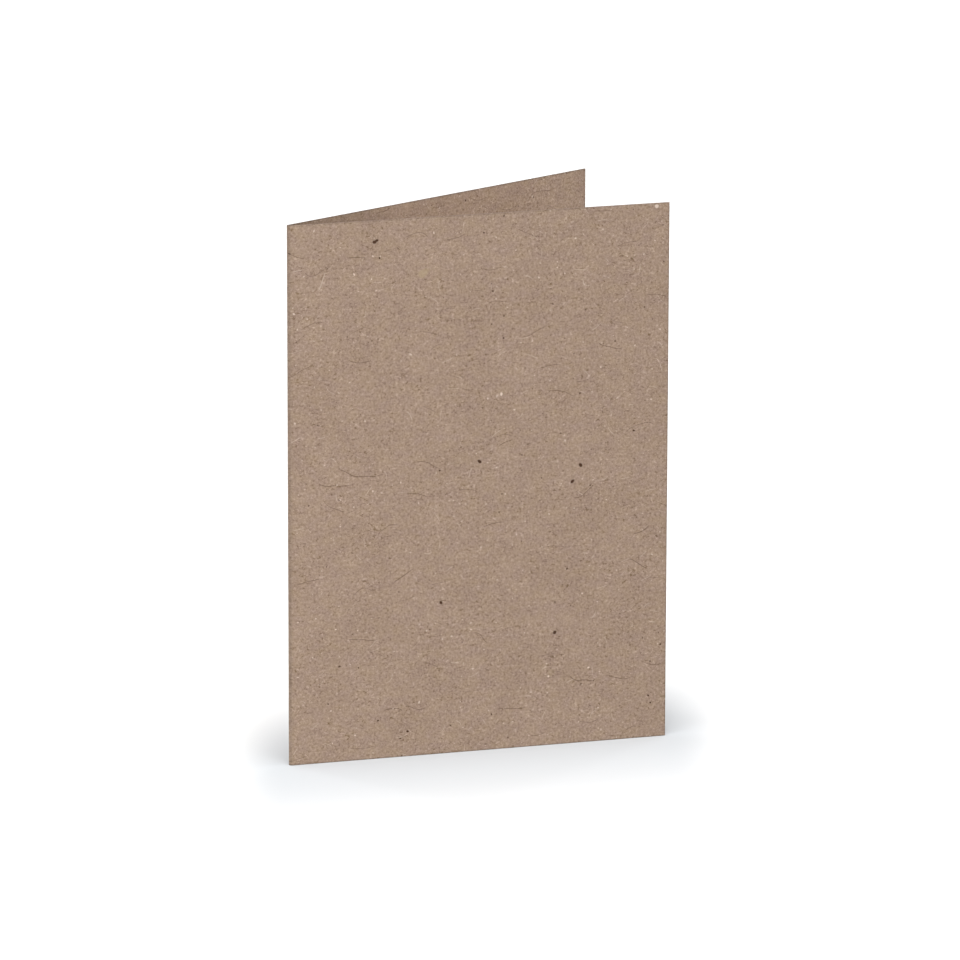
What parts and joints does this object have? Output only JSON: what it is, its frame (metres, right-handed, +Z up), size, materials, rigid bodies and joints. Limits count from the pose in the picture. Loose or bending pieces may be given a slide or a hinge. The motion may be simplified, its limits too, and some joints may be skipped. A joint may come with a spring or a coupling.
{
  "type": "folded card",
  "caption": "Blank folded card of brown recycled board, scored and folded once, standing partly open on its lower edges.",
  "frame": {"origin": "centre of the bounding box of the standing card, on the surface that its lower edges rest on", "axes": "+Z up along the fold; the fold stands at the -X end and the panels open towards +X; the front panel is on the -Y side and the back panel on the +Y side"},
  "size_m": [0.1024, 0.0464, 0.148],
  "materials": {
    "brown_board": "matte"
  },
  "bodies": {
    "root": {"folded_card": "brown_board"}
  },
  "joints": []
}
